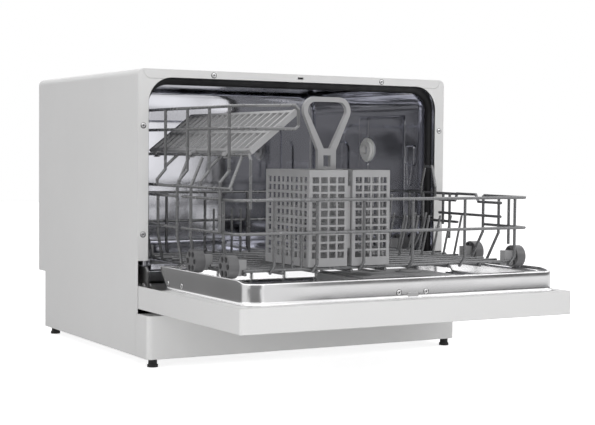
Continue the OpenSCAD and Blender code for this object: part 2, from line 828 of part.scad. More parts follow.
// Stainless inner door: outer outline drawn in by inset, with the slanted hinge end
module liner_block(inset, z0, z1)
{
    slant = inset * 1.41;
    intersection()
    {
        translate([0, 0, z0]) linear_extrude(z1 - z0)
            round_rect([-liner_x + inset, liner_front + inset], [liner_x - inset, 100], liner_r - inset);
        sideways(-liner_x, liner_x) polygon([
            [liner_front - 1, z0 - 1], [liner_end + z0 - 1 - door_top - slant - 2, z0 - 1],
            [liner_end + z1 + 1 - door_top - slant - 2, z1 + 1], [liner_front - 1, z1 + 1]
        ]);
    }
}
module pocket(inset, z0, z1)
{
    translate([0, 0, z0]) linear_extrude(z1 - z0)
        round_rect([-pocket_x + inset, pocket_front + inset], [pocket_x - inset, pocket_end - inset], liner_r - 8);
}
notch_x = 9;
notch_z = door_top + 9;
liner_screw_z = door_top + 9;
front_screw_x = [-23, 22];
side_screw_y = [-28, -74];
module door_liner()
{
    t = tub_wall;
    color("lightsteelblue") placed() difference()
    {
        union()
        {
            difference()
            {
                liner_block(0, door_top, track_z);
                difference()
                {
                    liner_block(t, door_top - 1, track_z - t);
                    pocket(-t, door_top - 2, track_z);
                }
                pocket(0, door_top - 1, pocket_floor - t);
                pocket(0, pocket_floor, track_z + 1);
            }
            both_sides() box([liner_x - lip_w, liner_front + liner_r + 4, track_z - t],
                             [liner_x, liner_end + 2, track_z + lip_h]);
        }
        box([-notch_x, liner_front - 1, door_top - 1], [notch_x, liner_front + 2 * t, notch_z]);
        for (x = front_screw_x) disc_y(x, liner_front - 1, liner_front + 2 * t, liner_screw_z, screw_r + 0.1);
        both_sides() for (y = side_screw_y)
            disc_x(liner_x - 2 * t, liner_x + 1, y, liner_screw_z, screw_r + 0.1);
        disc_z(dispenser_mid.x, dispenser_mid.y, pocket_floor - 2, pocket_floor + 1, 30);
    }
}

power_x = -panel_x + 35.5;
start_x = panel_x - 35.5;
program_x = start_x - 55;
window = [[power_x + 40, panel_mid - 11], [power_x + 100, panel_mid + 11]];
grip_front = panel_front + 4;
grip_rear = grip_front + 34;
board_z = panel_back + 5.8;
board_posts = [[-panel_x + 8, panel_rear - 5], [-78, panel_rear - 5], [78, panel_rear - 5], [panel_x - 8, panel_rear - 5]];
module control_panel()
{
    grip_top = door_z + grip_depth;
    color("gainsboro") placed() difference()
    {
        union()
        {
            box([-panel_x + seam, panel_front + seam, door_z], [panel_x - seam, panel_rear - seam, panel_back - 1]);
            box([-panel_x - 4, panel_front - 4, door_z + door_skin], [panel_x + 4, panel_rear + 4, panel_back]);
            box([-grip_w / 2 - 1.5, grip_front - 1.5, door_z + 1], [grip_w / 2 + 1.5, grip_rear + 1.5, grip_top + 1.5]);
            for (p = board_posts) disc_z(p.x, p.y, panel_back - 1, board_z, 3);
        }
        box([-grip_w / 2, grip_front, door_z - 1], [grip_w / 2, grip_rear, grip_top]);
        for (x = [power_x, program_x, start_x])
            disc_z(x, panel_mid, door_z - 1, panel_back + 1, button_d / 2 + 0.2);
        box([window[0].x - seam, window[0].y - seam, door_z - 1], [window[1].x + seam, window[1].y + seam, panel_back - 1.4]);
        box([window[0].x + 2, window[0].y + 2, door_z - 1], [window[1].x - 2, window[1].y - 2, panel_back + 1]);
    }
}
module display_window()
{
    color("black", 0.8) placed()
        box([window[0].x, window[0].y, door_z + 0.2], [window[1].x, window[1].y, panel_back - 1.45]);
}

// Cap through the control panel, with a collar that keeps it in
button_collar = 1.6;
module button(x, shade)
{
    color(shade) placed() union()
    {
        disc_z(x, panel_mid, door_z - 1, panel_back + 0.1 + button_collar, button_d / 2);
        disc_z(x, panel_mid, panel_back + 0.1, panel_back + 0.1 + button_collar, button_d / 2 + 1.5);
    }
}
module power_button() { button(power_x, "dimgray"); }
module program_button() { button(program_x, "dimgray"); }
module start_button() { button(start_x, "dimgray"); }

module control_board()
{
    switch_low = panel_back + 0.1 + button_collar + button_travel + 0.3;
    color("darkgreen") placed() union()
    {
        difference()
        {
            box([-panel_x, panel_front + 3, board_z], [panel_x, panel_rear, board_z + 1.6]);
            box([-grip_w / 2 - 3, panel_front, board_z - 1], [grip_w / 2 + 3, grip_rear + 3, board_z + 3]);
        }
        for (x = [power_x, program_x, start_x])
            box([x - 3, panel_mid - 3, switch_low], [x + 3, panel_mid + 3, board_z + 0.5]);
    }
}

// Brackets screwed to the liner's sides, with two cheeks on each hinge pin
module hinge_brackets()
{
    floor_top = door_z + door_skin + 2;
    inner = ear_x - ear_t - 4;
    outer = ear_x + 2;
    color("gray") placed() both_sides() difference()
    {
        union()
        {
            box([liner_x - 4, side_screw_y[1] - 12, door_z + door_skin],
                [door_x - door_skin - 0.1, door_tail - door_r - 2, floor_top]);
            box([liner_x - 4, side_screw_y[1] - 12, floor_top - 1],
                [liner_x - tub_wall - 0.1, side_screw_y[0] + 6, liner_screw_z + 6]);
            for (x = [inner, outer]) sideways(x, x + 2) union()
            {
                translate([hinge_y - 12, floor_top - 1]) square([24, hinge_z - floor_top - 5]);
                translate([hinge_y - nose_r, floor_top]) square([2 * nose_r, hinge_z - floor_top]);
                translate([hinge_y, hinge_z]) circle(nose_r);
            }
        }
        disc_x(inner - 1, outer + 3, hinge_y, hinge_z, pin_r + fit);
        for (y = side_screw_y) disc_x(liner_x - 5, liner_x, y, liner_screw_z, screw_r + 0.1);
        // Corner cut away where the liner's end slants
        box([liner_x - 5, side_screw_y[0] + 1.5, floor_top], [liner_x, side_screw_y[0] + 7, door_top + 4.5]);
    }
}

module latch_plate()
{
    y0 = liner_front + tub_wall + 0.1;
    color("dimgray") placed() difference()
    {
        union()
        {
            box([-32, y0, door_top + 2], [32, y0 + 3, door_top + 17]);
            box([-notch_x + loose, liner_front, door_top + loose], [notch_x - loose, y0 + 8, notch_z - loose]);
        }
        for (x = front_screw_x) disc_y(x, liner_front - 1, y0 + 9, liner_screw_z, screw_r + 0.1);
    }
}

module liner_screws()
{
    color("lightgray") placed()
    {
        for (x = front_screw_x)
        {
            disc_y(x, liner_front - 1, liner_front, liner_screw_z, 3.5);
            disc_y(x, liner_front - 0.5, liner_front + 8, liner_screw_z, screw_r);
        }
        both_sides() for (y = side_screw_y)
        {
            disc_x(liner_x, liner_x + 1, y, liner_screw_z, 3.5);
            disc_x(liner_x - 7, liner_x + 0.5, y, liner_screw_z, screw_r);
        }
    }
}

// Dispenser in the liner: a powder cup under a sliding lid, and the rinse aid cap
dispenser_low = [-45, -215];
dispenser_high = [125, -85];
dispenser_mid = (dispenser_low + dispenser_high) / 2;
dispenser_top = track_z - 6;
cup_low = [-30, -202];
cup_high = [28, -150];
lid_t = 2.5;
lid_travel = cup_high.y - cup_low.y;
cap_spot = [85, -140];
cap_r = 20;
module dispenser_body()
{
    z0 = pocket_floor + 0.05;
    color("gray") placed() difference()
    {
        union()
        {
            translate([0, 0, z0]) linear_extrude(dispenser_top - z0) round_rect(dispenser_low, dispenser_high, 8);
            disc_z(dispenser_mid.x, dispenser_mid.y, pocket_floor - 4, z0 + 1, 29);
            // Guides that hold the lid down
            for (x = [cup_low.x - 8, cup_high.x + 5])
                box([x, cup_low.y - 6, dispenser_top - 1], [x + 3, dispenser_high.y - 4, dispenser_top + lid_t + 0.2]);
        }
        box([cup_low.x, cup_low.y, pocket_floor + 3], [cup_high.x, cup_high.y, dispenser_top + 1]);
        disc_z(cap_spot.x, cap_spot.y, dispenser_top - 10, dispenser_top + 1, cap_r - 5 + fit);
    }
}
module dispenser_lid()
{
    z0 = dispenser_top + 0.1;
    color("silver") placed() union()
    {
        box([cup_low.x - 4.7, cup_low.y - 5, z0], [cup_high.x + 4.7, cup_high.y + 5, z0 + lid_t]);
        box([cup_low.x + 10, cup_low.y, z0 + 1], [cup_high.x - 10, cup_low.y + 4, z0 + lid_t + 1.5]);
    }
}
module rinse_cap()
{
    z0 = dispenser_top + 0.1;
    color("dimgray") placed() union()
    {
        disc_z(cap_spot.x, cap_spot.y, z0 - 8, z0 + 1, cap_r - 5);
        disc_z(cap_spot.x, cap_spot.y, z0, z0 + 2, cap_r);
        box([cap_spot.x - 15, cap_spot.y - 2, z0 + 1], [cap_spot.x + 15, cap_spot.y + 2, z0 + 4.5]);
    }
}

// ---------------------------------------------------------------- dish basket

// Rims of the basket's front with their two corner bends, and the uprights that turn into the floor
module end_frame()
{
    y = basket_front + wire_d - weld;
    for (z = [rim_z, mid_z])
    {
        wire([-rim_x + rim_r, basket_front, z], [rim_x - rim_r, basket_front, z]);
        both_sides() translate([rim_x - rim_r, basket_front + rim_r, z]) rotate(-90)
            rotate_extrude(angle = 90) translate([rim_r, 0]) circle(d = wire_d, $fn = 24);
    }
    for (x = front_wires) wire_run([[x, y, rim_z], [x, y, long_z + 12], [x, y + 12, long_z]]);
}
module basket_front() { color("silver") placed() end_frame(); }
module basket_rear()
{
    color("silver") placed() translate([0, 2 * basket_mid, 0]) mirror([0, 1, 0]) end_frame();
}

// Rims along one side, broken between the two gap ends, and uprights that lean in to the floor
module side_frame(uprights, gap_from, gap_to)
{
    for (z = [rim_z, mid_z])
    {
        wire([rim_x, basket_front + rim_r, z], [rim_x, basket_mid + gap_from, z]);
        wire([rim_x, basket_mid + gap_to, z], [rim_x, basket_rear - rim_r, z]);
    }
    for (u = uprights) wire_run([
        [upright_x, basket_mid + u, rim_z], [upright_x, basket_mid + u, mid_z - 11],
        [floor_x + 3, basket_mid + u + 12, long_z + 2]
    ]);
}
// On the left two posts rise to the cup shelf's pivot
module basket_left()
{
    color("silver") placed() mirror([1, 0, 0]) union()
    {
        side_frame([-132, 85, 125], -10, 13);
        for (u = [-29, 17]) wire_run([
            [-pivot_x, basket_mid + u, pivot_z - wire_d + weld], [upright_x, basket_mid + u, rim_z + 15],
            [upright_x, basket_mid + u, mid_z - 11], [floor_x + 3, basket_mid + u + 12, long_z + 2]
        ]);
    }
}
// The right side also carries a stepped wire for propping plates, a third rail and a hoop at the rear
module basket_right()
{
    step_x = upright_x - wire_d + weld;
    low = rim_z - 10;
    color("silver") placed() union()
    {
        side_frame([-117, -78, 85, 125], -75, -6);
        for (u = [-141.5, 10.5])
            wire([upright_x, basket_mid + u, wheel_z + wheel_d / 2 + 1], [upright_x, basket_mid + u, rim_z]);
        wire([upright_x, basket_mid + 28.3, mid_z - 5], [upright_x, basket_mid + 28.3, rim_z]);
        wire([step_x, basket_mid - 127, mid_z + 14], [step_x, basket_mid + 33, mid_z + 14]);
        wire_run([
            [step_x, basket_mid + 33, low], [step_x, basket_mid - 10, low], [step_x, basket_mid - 15, rim_z + 1],
            [step_x, basket_mid - 64, rim_z + 1], [step_x, basket_mid - 71, low], [step_x, basket_mid - 128, low]
        ]);
        wire_run([
            [upright_x, basket_mid + 51, rim_z - 6], [upright_x, basket_mid + 51, rim_z + 10],
            [upright_x, basket_mid + 61, rim_z + 43], [upright_x, basket_mid + 81, rim_z + 43],
            [upright_x, basket_mid + 91, rim_z + 10], [upright_x, basket_mid + 91, rim_z - 6]
        ]);
    }
}

module basket_floor()
{
    color("silver") placed() union()
    {
        for (x = long_wires) wire([x, cross_first - 4, long_z], [x, 2 * basket_mid - cross_first + 4, long_z]);
        for (y = cross_wires) wire([-floor_x - 2, y, cross_z], [floor_x + 2, y, cross_z]);
    }
}

// Plate tines welded on the floor's cross wires; those on the right lean outwards
tine_d = wire_d - 0.8;
tine_lean = 13;
module tine(x, y, h, lean)
{
    translate([x, y, cross_z]) rotate([0, lean, 0])
    {
        cylinder(d = tine_d, h = h / cos(lean), $fn = 24);
        translate([0, 0, h / cos(lean)]) sphere(d = tine_d, $fn = 24);
    }
}
module basket_tines()
{
    step = floor_x / 10.7;
    color("silver") placed() union()
    {
        for (y = [cross_wires[4], cross_wires[7]], k = [0 : 5]) tine(floor_x - 6 - k * step, y, tine_h, tine_lean);
        tine(floor_x - 6 - 6.2 * step, cross_wires[4], tine_h + 34, tine_lean / 2);
        for (k = [0 : 5]) tine(-0.277 * floor_x - k * step * 0.75, cross_wires[9], tine_h + 8, 0);
        for (k = [0 : 2]) tine(-0.607 * floor_x - k * step * 0.67, cross_wires[0], 47, 0);
    }
}

// Clip on the floor's edge wire, with the axle stub of its wheel
module wheel_clips()
{
    color("gray") placed() both_sides() for (i = [0 : 2])
    {
        y = basket_mid + wheel_steps[i] * wheel_pitch;
        difference()
        {
            union()
            {
                box([floor_x - 5, y - 6, wheel_z - 13], [wheel_in - 0.5, y + 6, wheel_z + 9]);
                disc_x(wheel_in - 1, wheel_out - 2.5, y, wheel_z, axle_d / 2);
            }
            disc_y(floor_x, y - 9, y + 9, long_z, wire_d / 2);
            box([floor_x - wire_d / 2, y - 9, wheel_z - 14], [floor_x + wire_d / 2, y + 9, long_z]);
            for (c = cross_wires) wire([floor_x - 6, c, cross_z], [wheel_in, c, cross_z], wire_d + 0.6);
        }
    }
}

// Wheel with six windows in the face towards the basket
module wheel(i)
{
    y = basket_mid + wheel_steps[i] * wheel_pitch;
    spoke_r = (axle_d / 2 + wheel_d / 2) / 2 + 0.5;
    difference()
    {
        disc_x(wheel_in, wheel_out, y, wheel_z, wheel_d / 2);
        disc_x(wheel_in - 1, wheel_out - 2, y, wheel_z, axle_d / 2 + fit);
        for (k = [0 : 5]) translate([wheel_in - 1, y, wheel_z]) rotate([k * 60, 0, 0])
            disc_x(0, wheel_out, spoke_r, 0, wheel_d / 8);
    }
}
module left_wheel(i) { color("silver") placed() mirror([1, 0, 0]) wheel(i); }
module right_wheel(i) { color("silver") placed() wheel(i); }
module left_wheel_1() { left_wheel(0); }
module left_wheel_2() { left_wheel(1); }
module left_wheel_3() { left_wheel(2); }
module right_wheel_1() { right_wheel(0); }
module right_wheel_2() { right_wheel(1); }
module right_wheel_3() { right_wheel(2); }

// ---------------------------------------------------------------- cup shelf

pivot_x = -rim_x + 22;
pivot_z = track_z + shelf_h;
shelf_front = basket_front + 15;
shelf_t = 5;
guard_x = -rim_x + 9;
guard_hook_x = -rim_x - wire_d + weld;
guard_front = basket_front + wire_d - weld;
guard_rear = shelf_front + shelf_l + 5;
guard_top = track_z + guard_h;
guard_mid = guard_top - 30;
guard_low = rim_z + 15;
guard_posts = [-138, -77, -6, 70, 140];
prop_posts = [-77, 70];
module cup_guard()
{
    tip_x = pivot_x + shelf_w * 0.74;
    under = shelf_t / 2 + wire_d / 2 + rest_gap;
    bend = rim_z + 38;
    color("silver") placed() union()
    {
        wire_run([
            [guard_x, guard_rear, guard_mid], [guard_x, guard_rear, guard_top], [guard_x, guard_front + 30, guard_top],
            [guard_x + 6, guard_front + 8, guard_top], [guard_x + 20, guard_front, guard_top],
            [tip_x - 6, guard_front, guard_top + 2], [tip_x, guard_front, guard_top - 4],
            [tip_x, guard_front, guard_mid + 4], [tip_x - 5, guard_front, guard_mid],
            [guard_x + 20, guard_front, guard_mid], [guard_x + 6, guard_front + 8, guard_mid],
            [guard_x, guard_front + 30, guard_mid], [guard_x, guard_rear, guard_mid],
            [pivot_x, guard_rear, pivot_z], [pivot_x, guard_front + 4, pivot_z], [pivot_x, guard_front, pivot_z - 6],
            [pivot_x, guard_front, rim_z - 12]
        ]);
        wire([guard_hook_x, basket_front + rim_r + 5, guard_low], [pivot_x, basket_front + rim_r + 19, pivot_z]);
        wire([guard_hook_x, basket_front + rim_r, guard_low], [guard_hook_x, guard_rear - 10, guard_low]);
        for (u = guard_posts) wire_run([
            [guard_x, basket_mid + u, guard_top], [guard_x, basket_mid + u, bend],
            [guard_hook_x, basket_mid + u, bend - 15], [guard_hook_x, basket_mid + u, guard_low]
        ]);
        for (u = [guard_posts[0], guard_posts[4]])
            wire([guard_hook_x, basket_mid + u, guard_low], [guard_hook_x, basket_mid + u, mid_z]);
        // Props that the shelf lies on
        for (u = prop_posts) wire_run([
            [guard_x, basket_mid + u, pivot_z - 18],
            [pivot_x + under * sin(shelf_tilt), basket_mid + u, pivot_z - under * cos(shelf_tilt)],
            [pivot_x + 60 * cos(shelf_tilt) + under * sin(shelf_tilt), basket_mid + u,
             pivot_z + 60 * sin(shelf_tilt) - under * cos(shelf_tilt)]
        ]);
    }
}

// Slatted shelf whose hooks turn on the guard's lower wire
shelf_slats = 17;
shelf_hooks = [-110, 2, 125];
module cup_shelf()
{
    pitch = (shelf_l - 12) / shelf_slats;
    color("silver") placed() translate([pivot_x, 0, pivot_z]) rotate([0, -shelf_tilt, 0]) difference()
    {
        union()
        {
            translate([0, 0, -shelf_t / 2]) linear_extrude(shelf_t) difference()
            {
                translate([7, shelf_front]) square([shelf_w - 7, shelf_l]);
                for (i = [0 : shelf_slats - 1], x = [[12, shelf_w / 2 - 2], [shelf_w / 2 + 2, shelf_w - 5]])
                    translate([x[0], shelf_front + 9 + i * pitch]) square([x[1] - x[0], pitch - 5]);
            }
            box([7, shelf_front, -shelf_t / 2 - 1.5], [shelf_w, shelf_front + 7, shelf_t / 2 + 1.5]);
            for (u = shelf_hooks)
            {
                disc_y(0, basket_mid + u, basket_mid + u + 12, 0, wire_d / 2 + 2.2);
                box([1, basket_mid + u, -shelf_t / 2], [8, basket_mid + u + 12, shelf_t / 2]);
            }
        }
        for (u = shelf_hooks)
        {
            disc_y(0, basket_mid + u - 1, basket_mid + u + 13, 0, wire_d / 2 + fit);
            box([-6, basket_mid + u - 1, -1.5], [0, basket_mid + u + 13, 1.5]);
        }
    }
}

// ---------------------------------------------------------------- cutlery basket

bins_x = -126;
bins_y = basket_front + 13;
bins_z = deck_z + rest_gap;
bins_top = bins_z + bin_h;
bins_mid = bins_x + bin_w + bin_gap / 2;
web_top = bins_top - 8;

// Flat lattice with equal windows inside a margin
module lattice(w, h, columns, rows, side, foot, head, bar)
{
    pitch_x = (w - 2 * side + bar) / columns;
    pitch_z = (h - foot - head + bar) / rows;
    difference()
    {
        square([w, h]);
        for (i = [0 : columns - 1], k = [0 : rows - 1])
            translate([side + i * pitch_x, foot + k * pitch_z]) square([pitch_x - bar, pitch_z - bar]);
    }
}
module bin()
{
    for (y = [bin_wall, bin_l]) translate([0, y, 0]) rotate([90, 0, 0]) linear_extrude(bin_wall)
        lattice(bin_w, bin_h, 4, 10, 5, 12, 10, 3);
    for (x = [0, bin_w - bin_wall]) translate([x, 0, 0]) rotate([90, 0, 90]) linear_extrude(bin_wall)
        lattice(bin_l, bin_h, 9, 10, 7, 12, 10, 3.5);
    linear_extrude(bin_wall) lattice(bin_w, bin_l, 4, 8, 5, 6, 6, 4);
}
module cutlery_bins()
{
    color("silver") placed() union()
    {
        for (x = [bins_x, bins_x + bin_w + bin_gap]) translate([x, bins_y, bins_z]) bin();
        box([bins_mid - 3, bins_y + 4, bins_z + 25], [bins_mid + 3, bins_y + 14, web_top - 14]);
        box([bins_mid - bin_gap / 2 - 1, bins_y + 12, bins_z + 20], [bins_mid + bin_gap / 2 + 1, bins_y + 15, web_top - 14]);
        box([bins_mid - bin_gap / 2 - 1, bins_y + 55, bins_z + 60], [bins_mid + bin_gap / 2 + 1, bins_y + 80, web_top]);
    }
}

// Point at which a line from p touches a circle on its outer side
function touch(p, c, r) =
    let (d = norm(c - p), turn = atan2(c.x - p.x, c.y - p.y) + asin(r / d), reach = sqrt(d * d - r * r))
    [p.x + reach * sin(turn), p.y + reach * cos(turn)];
// Outline of the carrying loop: a flattened top, straight sides that close in on the foot, and a straight stem
stem_half = 15;
module loop_outline(r, foot, base)
{
    c = [loop_r / 2, bins_top + loop_r * 1.5 + 25.5];
    q = touch(foot, c, r * 0.99);
    for (s = [-1, 1]) translate([s * c.x, c.y]) circle(r);
    translate([-c.x, c.y - 1]) square([2 * c.x, r + 1]);
    polygon([
        [-foot.x, base], [foot.x, base], [foot.x, foot.y], [q.x, q.y],
        [c.x, c.y], [-c.x, c.y], [-q.x, q.y], [-foot.x, foot.y]
    ]);
}

// Carrying loop on a windowed stem
module cutlery_handle()
{
    band = 7;
    y = bins_y + 64;
    color("silver") placed() upright(y, y + band) translate([bins_mid, 0]) difference()
    {
        union()
        {
            loop_outline(loop_r / 2, [stem_half, bins_top + 27], bins_top + 0.1);
            translate([-bin_gap / 2 + 0.5, web_top + 0.1]) square([bin_gap - 1, bins_top - web_top + 2]);
        }
        loop_outline(loop_r / 2 - band, [stem_half - 9, bins_top + 31], bins_top + 30);
        translate([9 - stem_half, bins_top + 4]) square([2 * stem_half - 18, 16]);
    }
}

top_cover();
left_side_panel();
right_side_panel();
kick_panel();
rear_panel();
base_tray();
feet();
tub_wrap();
tub_floor();
tub_back();
tub_seal();
side_rails();
flange_screws();
latch_catch();
sump();
filter_plate();
filter_cylinder();
spray_hub();
spray_arm();
wash_pump();
drain_pump();
water_hoses();
inlet_valve();
heating_element();
air_breather();
breather_nut();
cord_gland();
door_outer_panel();
door_liner();
control_panel();
display_window();
control_board();
power_button();
program_button();
start_button();
hinge_brackets();
liner_screws();
latch_plate();
dispenser_body();
dispenser_lid();
rinse_cap();
basket_floor();
basket_front();
basket_rear();
basket_left();
basket_right();
basket_tines();
wheel_clips();
left_wheel_1();
left_wheel_2();
left_wheel_3();
right_wheel_1();
right_wheel_2();
right_wheel_3();
cup_guard();
cup_shelf();
cutlery_bins();
cutlery_handle();
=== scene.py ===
"""Countertop dishwasher with its door open and its basket drawn out, in a plain white studio."""

import math

import bpy
import numpy as np
from mathutils import Matrix, Vector


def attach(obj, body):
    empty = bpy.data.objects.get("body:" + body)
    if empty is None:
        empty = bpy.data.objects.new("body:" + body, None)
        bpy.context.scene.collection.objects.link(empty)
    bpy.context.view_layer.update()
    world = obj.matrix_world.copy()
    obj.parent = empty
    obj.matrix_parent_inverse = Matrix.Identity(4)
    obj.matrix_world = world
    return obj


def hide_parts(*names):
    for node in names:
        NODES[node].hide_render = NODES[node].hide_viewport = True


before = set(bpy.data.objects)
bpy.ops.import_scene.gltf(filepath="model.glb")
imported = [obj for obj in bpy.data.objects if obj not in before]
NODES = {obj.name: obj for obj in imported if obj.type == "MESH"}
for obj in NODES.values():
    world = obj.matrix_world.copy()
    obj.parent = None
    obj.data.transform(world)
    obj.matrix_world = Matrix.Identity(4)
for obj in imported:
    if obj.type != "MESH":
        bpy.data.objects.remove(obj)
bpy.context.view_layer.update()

# ---------------------------------------------------------------- camera

MM = 0.001
CAMERA_AT = Vector((-1.07673, -1.93108, 0.31754))
CAMERA_YAW = math.radians(-29.75)
CAMERA_PITCH = math.radians(-2.53)
CAMERA_ROLL = math.radians(0.52)
LENS_MM = 83.33
SENSOR_MM = 36.0


def make_camera():
    """Camera at its place, turned about the vertical, tipped down, then rolled about its own axis."""
    level = Vector((-math.sin(CAMERA_YAW), math.cos(CAMERA_YAW), 0))
    side = Vector((math.cos(CAMERA_YAW), math.sin(CAMERA_YAW), 0))
    up = Vector((0, 0, 1))
    ahead = level * math.cos(CAMERA_PITCH) + up * math.sin(CAMERA_PITCH)
    tilted = up * math.cos(CAMERA_PITCH) - level * math.sin(CAMERA_PITCH)
    right = side * math.cos(CAMERA_ROLL) + tilted * math.sin(CAMERA_ROLL)
    over = tilted * math.cos(CAMERA_ROLL) - side * math.sin(CAMERA_ROLL)
    data = bpy.data.cameras.new("camera")
    data.lens = LENS_MM
    data.sensor_width = SENSOR_MM
    camera = bpy.data.objects.new("camera", data)
    turn = Matrix((right, over, -ahead)).transposed().to_4x4()
    camera.matrix_world = Matrix.Translation(CAMERA_AT) @ turn
    bpy.context.scene.collection.objects.link(camera)
    bpy.context.scene.camera = camera


make_camera()

# ---------------------------------------------------------------- materials


def add_node(tree, kind, **values):
    """Shader node whose keywords set its sockets where it has them, and its own settings elsewhere."""
    made = tree.nodes.new("ShaderNode" + kind)
    for key, value in values.items():
        if key in made.inputs:
            made.inputs[key].default_value = value
        else:
            setattr(made, key, value)
    return made


class Paint:
    """A Principled material whose colour, roughness and bump come from procedural noise."""

    def __init__(self, name, colour, roughness, metallic=0.0, **sockets):
        self.made = bpy.data.materials.new(name)
        self.made.use_nodes = True
        self.tree = self.made.node_tree
        self.bsdf = self.tree.nodes["Principled BSDF"]
        self.bsdf.inputs["Base Color"].default_value = (*colour, 1)
        self.bsdf.inputs["Roughness"].default_value = roughness
        self.bsdf.inputs["Metallic"].default_value = metallic
        for socket, value in sockets.items():
            self.bsdf.inputs[socket.replace("_", " ")].default_value = value
        self.colour = colour
        self.height = None

    def node(self, kind, **values):
        return add_node(self.tree, kind, **values)

    def link(self, a, b):
        self.tree.links.new(a, b)

    def noise(self, scale, detail=3.0):
        """Noise on the piece's own place in the frame."""
        place = self.node("TexCoord")
        noise = self.node("TexNoise", Scale=scale, Detail=detail, Roughness=0.5)
        self.link(place.outputs["Object"], noise.inputs["Vector"])
        return noise.outputs["Fac"]

    def vary(self, source, darker, lighter):
        """Base colour runs between two brightness factors with the noise."""
        ramp = self.node("ValToRGB")
        for stop, at, factor in zip(ramp.color_ramp.elements, (0.3, 0.7), (darker, lighter)):
            stop.position = at
            stop.color = (*[min(1, c * factor) for c in self.colour], 1)
        self.link(source, ramp.inputs["Fac"])
        self.link(ramp.outputs["Color"], self.bsdf.inputs["Base Color"])
        return self

    def rough(self, source, low, high):
        """Roughness runs between low and high with the noise's middle part."""
        span = self.node("MapRange", **{"From Min": 0.35, "From Max": 0.65, "To Min": low, "To Max": high})
        self.link(source, span.inputs["Value"])
        self.link(span.outputs["Result"], self.bsdf.inputs["Roughness"])
        return self

    def bump(self, source, distance, strength):
        """Relief of the given height in metres, over the relief made before it."""
        bump = self.node("Bump", Strength=strength, Distance=distance)
        self.link(source, bump.inputs["Height"])
        if self.height is not None:
            self.link(self.height, bump.inputs["Normal"])
        self.height = bump.outputs["Normal"]
        self.link(self.height, self.bsdf.inputs["Normal"])
        return self

    def soft_edges(self, radius):
        """Edges that catch the light over the given radius in metres."""
        self.height = self.node("Bevel", samples=4, Radius=radius).outputs["Normal"]
        self.link(self.height, self.bsdf.inputs["Normal"])
        return self


def enamel():
    """Baked white enamel with a faint orange peel."""
    p = Paint("enamel", (0.72, 0.72, 0.715), 0.42, Coat_Weight=0.15, Coat_Roughness=0.3)
    p.soft_edges(0.0015).vary(p.noise(6, detail=2), 0.985, 1.01)
    p.rough(p.noise(40), 0.38, 0.47)
    return p.bump(p.noise(420, detail=2), 0.00006, 0.6)


def sheet_steel(name, colour, low, high):
    """Pressed steel sheet: slow waves in its mirror, a fine grain, and a polish that wanders from low to high."""
    p = Paint(name, colour, 0.3, 1.0)
    p.soft_edges(0.0012).vary(p.noise(7, detail=3), 0.93, 1.04)
    p.rough(p.noise(9), low, high)
    p.bump(p.noise(3.5, detail=1), 0.0025, 0.3)
    return p.bump(p.noise(260, detail=2), 0.00003, 0.35)


def plastic(name, colour, roughness, grain=300, depth=0.00008):
    """Moulded plastic with a fine grain of the given scale and depth."""
    p = Paint(name, colour, roughness)
    p.soft_edges(0.0006).vary(p.noise(25), 0.95, 1.04)
    p.rough(p.noise(60), roughness - 0.06, roughness + 0.06)
    return p.bump(p.noise(grain, detail=2), depth, 0.5)


def rubber(name, colour):
    """Dull rubber, dusty in places."""
    p = Paint(name, colour, 0.6)
    p.soft_edges(0.0006).vary(p.noise(30), 0.8, 1.25)
    p.rough(p.noise(50), 0.5, 0.7)
    return p.bump(p.noise(500, detail=2), 0.00006, 0.6)


ENAMEL = enamel().made
TUB_STEEL = sheet_steel("tub_steel", (0.74, 0.745, 0.785), 0.05, 0.12).made
LINER_STEEL = sheet_steel("liner_steel", (0.85, 0.85, 0.85), 0.12, 0.22).made
PLATE_STEEL = sheet_steel("plate_steel", (0.55, 0.55, 0.55), 0.35, 0.5).made
FRAME_STEEL = sheet_steel("frame_steel", (0.35, 0.35, 0.35), 0.35, 0.5).made
# Near black steel used only as painted shade: the shadowed gap round each screw head and the shadowed hole in its
# socket
PAINTED_SHADE_STEEL = sheet_steel("painted_shade_steel", (0.05, 0.05, 0.05), 0.5, 0.6).made
BRIGHT_STEEL = sheet_steel("bright_steel", (0.75, 0.75, 0.75), 0.15, 0.3).made
# The wire's thin coat lets its metal through
COATED_WIRE = plastic("coated_wire", (0.21, 0.212, 0.216), 0.25, 400, 0.00002).made
COATED_WIRE.node_tree.nodes["Principled BSDF"].inputs["Metallic"].default_value = 0.6
GREY_PLASTIC = plastic("grey_plastic", (0.34, 0.34, 0.345), 0.42).made
WHEEL_PLASTIC = plastic("wheel_plastic", (0.13, 0.13, 0.133), 0.4).made
DARK_PLASTIC = plastic("dark_plastic", (0.02, 0.02, 0.022), 0.4).made
WHITE_PLASTIC = plastic("white_plastic", (0.92, 0.92, 0.9), 0.35).made
PANEL_PLASTIC = plastic("panel_plastic", (0.7, 0.7, 0.7), 0.3).made
WINDOW_PLASTIC = plastic("window_plastic", (0.01, 0.01, 0.012), 0.12, 40, 0.00001).made
BOARD_GREEN = plastic("board_green", (0.02, 0.12, 0.06), 0.4).made
SEAL_RUBBER = rubber("seal_rubber", (0.012, 0.012, 0.013)).made
FOOT_RUBBER = rubber("foot_rubber", (0.02, 0.02, 0.02)).made

